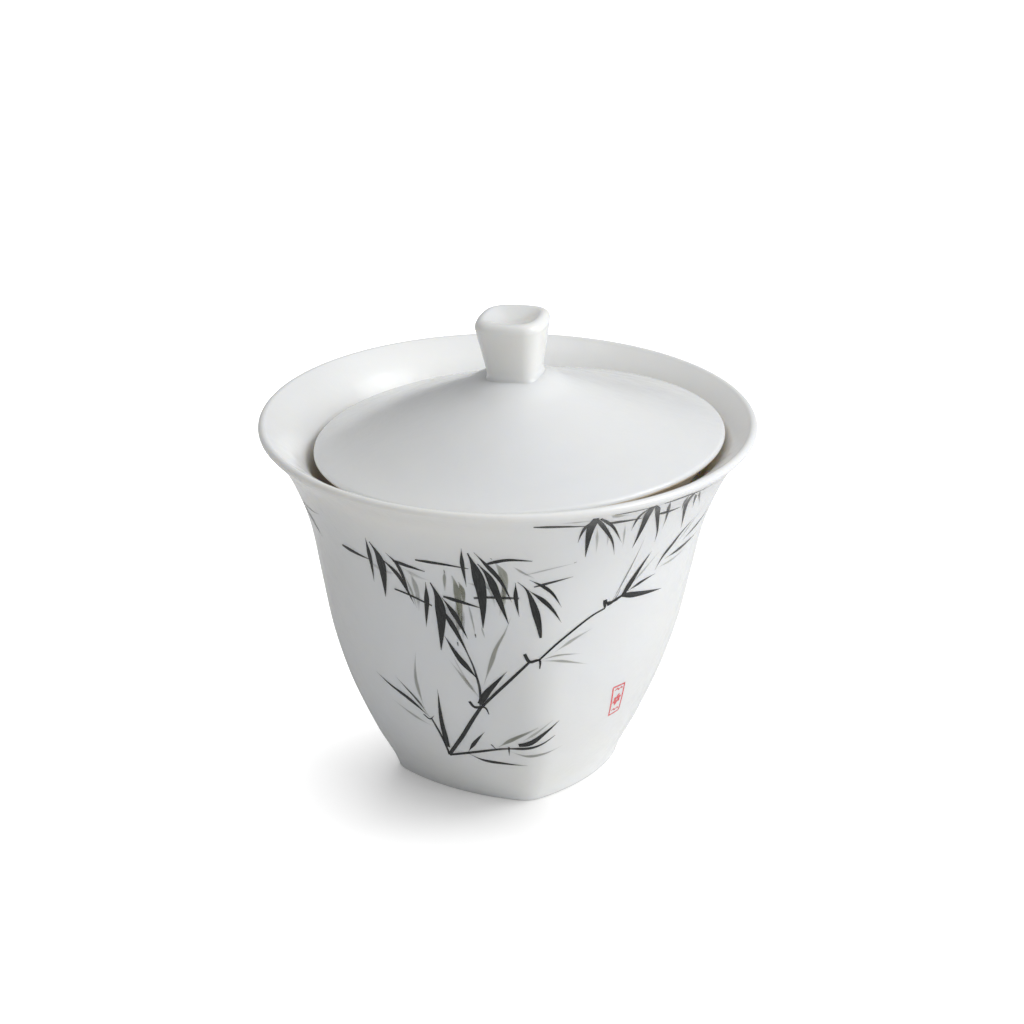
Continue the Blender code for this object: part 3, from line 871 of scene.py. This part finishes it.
def addStrokes(name, strokes, material):
    lines = strokeLines(name + "_lines", strokes)
    mesh = runTree(lines, strokeTree, {
        "Wall": bowlPiece, "Arc Per Degree": brush["arcPerDegree"] * mm, "Step": brush["step"] * mm,
        "Across": brush["across"], "Ink": material})
    bpy.data.objects.remove(lines)
    piece = linkObject(bpy.data.objects.new(name, mesh))
    facing = sum(face.normal.dot(Vector((face.center.x, face.center.y, 0))) for face in mesh.polygons)
    if facing < 0:
        mesh.flip_normals()
    film = piece.modifiers.new("film", "SOLIDIFY")
    film.thickness = brush["film"] * mm
    film.offset = -1.0
    evaluated = piece.evaluated_get(bpy.context.evaluated_depsgraph_get())
    solid = bpy.data.meshes.new_from_object(evaluated)
    piece.modifiers.remove(film)
    piece.data = solid
    solid.set_sharp_from_angle(angle=math.radians(brush["sharpAngle"]))
    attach(piece, "bowl")
    print(name, len(strokes), "strokes", len(solid.polygons), "faces")
    return piece


def attributeWire(tree, title):
    return wireFrom(tree, "ShaderNodeAttribute", None, 2, attribute_name=title)


hairsAcross = 7.0  # streaks to a millimetre across the stroke
hairsAlong = 420.0  # and to a metre along it


# How a loaded brush leaves its mark: a wet edge, hairs that show along the stroke, and a dry end.
def buildBrushMark():
    tree, entry, leave = newTree("brushMark", (
        ("Ink", "NodeSocketFloat", 1.0),
        ("Edge", "NodeSocketFloat", 0.08),
        ("Wash Edge", "NodeSocketFloat", 0.5),
        ("Dryness", "NodeSocketFloat", 0.5),
        ("Streak", "NodeSocketFloat", 0.15),
    ), (("Cover", "NodeSocketFloat"), ("Streaks", "NodeSocketFloat")), "ShaderNodeTree")

    def given(name):
        return Wire(tree, entry.outputs[name])

    across, half, part, along, seed = (attributeWire(tree, title) for title in (
        "across", "half", "part", "along", "seed"))
    ink, thin = given("Ink"), 1.0 - given("Ink")
    halfMm = (half * 1000.0).math("MAXIMUM", 0.02)
    soft = ((given("Edge") + thin * given("Wash Edge")) / halfMm).math("MINIMUM", 1.0)
    edge = rampBetween(tree, 1.0 - across.math("ABSOLUTE"), 0.0, soft)
    hairs = addNode(tree, "ShaderNodeCombineXYZ", {
        0: across * halfMm * hairsAcross, 1: along * hairsAlong, 2: seed})
    noise = wireFrom(tree, "ShaderNodeTexNoise", {"Vector": hairs.outputs[0], "Scale": 1.0, "Detail": 3.0})
    streaks = rampBetween(tree, noise, 0.32, 0.68)
    dry = rampBetween(tree, part, 0.5, 1.0) * given("Dryness")
    body = ink * (1.0 - (1.0 - streaks) * (given("Streak") + dry + thin * 0.3).math("MINIMUM", 1.0))
    ends = rampBetween(tree, part, 0.0, 0.2) * rampBetween(tree, part, 0.7, 1.0, 1.0, 0.0)
    faded = 1.0 - thin * (1.0 - ends)
    loaded = (body * faded * 1.15).math("MINIMUM", 1.0)
    for socket, value in zip(leave.inputs, (loaded * edge, streaks)):
        feed(tree, value, socket)
    return tree


markGroup = buildBrushMark()
strokeTree = buildStrokeTree()

pigment = {
    "black": (0.009, 0.0105, 0.0115, 1),
    "worn": (0.032, 0.035, 0.034, 1),
    "olive": (0.15, 0.155, 0.075, 1),
    "grey": (0.045, 0.048, 0.044, 1),
    "red": (0.78, 0.05, 0.07, 1),
    "pink": (0.85, 0.2, 0.2, 1),
    "shine": 0.35,
    "inkMark": {"Edge": 0.05, "Wash Edge": 0.4, "Dryness": 0.22, "Streak": 0.0},
    "sealMark": {"Ink": 1.0, "Edge": 0.06, "Wash Edge": 0.5, "Dryness": 0.0, "Streak": 0.1},
    "sealGrain": {"Cloud Scale": 500.0, "Fine Scale": 2400.0},
    "sealCover": (0.72, 0.28),
}


def buildInk():
    material, tree, shader = newMaterial("brushInk")
    ink, olive = attributeWire(tree, "ink"), attributeWire(tree, "olive")
    mark = groupWires(tree, markGroup, {"Ink": ink, **pigment["inkMark"]})
    feed(tree, mark["Cover"], shader.inputs["Alpha"])
    black = mixColour(tree, mark["Streaks"], pigment["worn"], pigment["black"])
    wash = mixColour(tree, olive, pigment["grey"], pigment["olive"])
    feed(tree, mixColour(tree, rampBetween(tree, ink, 0.58, 0.8), wash, black), shader.inputs["Base Color"])
    feed(tree, 0.16 + mark["Streaks"] * 0.1, shader.inputs["Roughness"])
    shader.inputs["Specular IOR Level"].default_value = pigment["shine"]
    return material


def buildSealRed():
    material, tree, shader = newMaterial("sealRed")
    grain = groupWires(tree, grainGroup, pigment["sealGrain"])
    mark = groupWires(tree, markGroup, pigment["sealMark"])
    least, more = pigment["sealCover"]
    feed(tree, mark["Cover"] * (least + grain["Cloud"] * more), shader.inputs["Alpha"])
    red = mixColour(tree, grain["Fine"] * 0.6, pigment["red"], pigment["pink"])
    feed(tree, red, shader.inputs["Base Color"])
    feed(tree, 0.2 + grain["Fine"] * 0.15, shader.inputs["Roughness"])
    shader.inputs["Specular IOR Level"].default_value = pigment["shine"]
    return material


painting = addStrokes("bamboo_painting", bamboo, buildInk())

# a small red stamp: a slanted frame round a flower and two waves
sealLines = (
    ("band", 0.44, (((42.5, 25.3), (49.2, 25.2)), ((49.1, 25.3), (53.3, 17.7)),
                    ((53.3, 17.7), (46.7, 17.5)), ((46.8, 17.4), (42.5, 25.3)))),
    ("leaf", 1.0, (((47.9, 21.6), (47.9, 23)), ((48.2, 21.5), (50.2, 22.1)),
                   ((48.2, 21.3), (50.2, 20.7)), ((47.9, 21.2), (47.9, 19.8)),
                   ((47.6, 21.3), (45.6, 20.7)), ((47.6, 21.5), (45.6, 22.1)))),
    ("stem", 0.4, (((44.4, 24.2), (45.5, 24.6), (46.6, 24.1), (47.7, 24.6), (48.7, 24.1)),
                   ((47.4, 18.5), (48.5, 18.9), (49.6, 18.4), (50.7, 18.9), (51.8, 18.4)))),
)
sealStrokes = [(kind, width, 1.0, 0.0, path) for kind, width, paths in sealLines for path in paths]
seal = addStrokes("seal_stamp", sealStrokes, buildSealRed())
print("painting done")

studio = {
    "keyPlace": (1.15, -0.35, 0.85),
    "keySize": 1.0,
    "keyPower": 15.2,
    "overPlace": (0.25, 0.1, 1.4),
    "overSize": 1.2,
    "overPower": 4.0,
    "sky": 0.325,
    "topPlace": (0.5, 0.6, 1.6),
    "topSize": 3.4,
    "topPower": 119.0,
    "sheetGlow": 0.17,
    "sheetColour": (0.9, 0.9, 0.9, 1),
    "tableColour": (0.86, 0.86, 0.86, 1),
    "tableDrop": 0.0001,
    "floorReach": 6.0,
    "lens": 211.265,
    "sensor": 36.0,
    "sight": 20.0,  # metres that the camera sees
    "cameraPlace": (0.00086, -1.1156, 0.51508),
    "cameraTilt": 67.533,
}


def addFloor(name, height, colour, glow=0.0):
    size = studio["floorReach"]
    mesh = bpy.data.meshes.new(name)
    mesh.from_pydata([(-size, -size, height), (size, -size, height), (size, size, height),
                      (-size, size, height)], [], [(0, 1, 2, 3)])
    floor = linkObject(bpy.data.objects.new(name, mesh))
    paper, _, shader = newMaterial(name + "Paper")
    for title, value in (("Base Color", colour), ("Roughness", 0.8), ("Specular IOR Level", 0.0),
                         ("Emission Color", colour), ("Emission Strength", glow)):
        shader.inputs[title].default_value = value
    mesh.materials.append(paper)
    return floor


def addArea(name, place, size, power, target):
    light = bpy.data.lights.new(name, "AREA")
    light.size = size
    light.energy = power
    lamp = linkObject(bpy.data.objects.new(name, light))
    lamp.location = place
    lamp.rotation_euler = (Vector(target) - Vector(place)).to_track_quat("-Z", "Y").to_euler()
    return lamp


def lightOnly(lamp, name, objects):  # this lamp lights these and nothing else
    group = bpy.data.collections.new(name)
    for obj in objects:
        group.objects.link(obj)
    lamp.light_linking.receiver_collection = group


def addSky():
    world = bpy.data.worlds.new("studio")
    scene.world = world
    world.use_nodes = True
    background = world.node_tree.nodes["Background"]
    background.inputs[0].default_value = (1, 1, 1, 1)
    background.inputs[1].default_value = studio["sky"]


def addCamera():
    camera = bpy.data.cameras.new("camera")
    camera.lens = studio["lens"]
    camera.sensor_width = studio["sensor"]
    camera.clip_end = studio["sight"]
    view = linkObject(bpy.data.objects.new("camera", camera))
    view.location = studio["cameraPlace"]
    view.rotation_euler = (math.radians(studio["cameraTilt"]), 0, 0)
    scene.camera = view


ware = [o for o in scene.objects if o.type == "MESH"]
# the sheet is what shows under the bowl, and the table under it is what lights the bowl from below
sheet = addFloor("floor", 0.0, studio["sheetColour"], studio["sheetGlow"])
sheet.visible_diffuse = sheet.visible_glossy = sheet.visible_shadow = sheet.visible_transmission = False
table = addFloor("table", -studio["tableDrop"], studio["tableColour"])
table.visible_camera = False
for name, target, lit in (("key", (0, 0, 0.05), ware + [table]), ("over", (0, 0, 0.05), ware + [table]),
                          ("top", (0, 0, 0), [sheet])):
    lamp = addArea(name + "Light", studio[name + "Place"], studio[name + "Size"], studio[name + "Power"],
                   target)
    lightOnly(lamp, name + "Lit", lit)
addSky()
addCamera()
print("studio done")
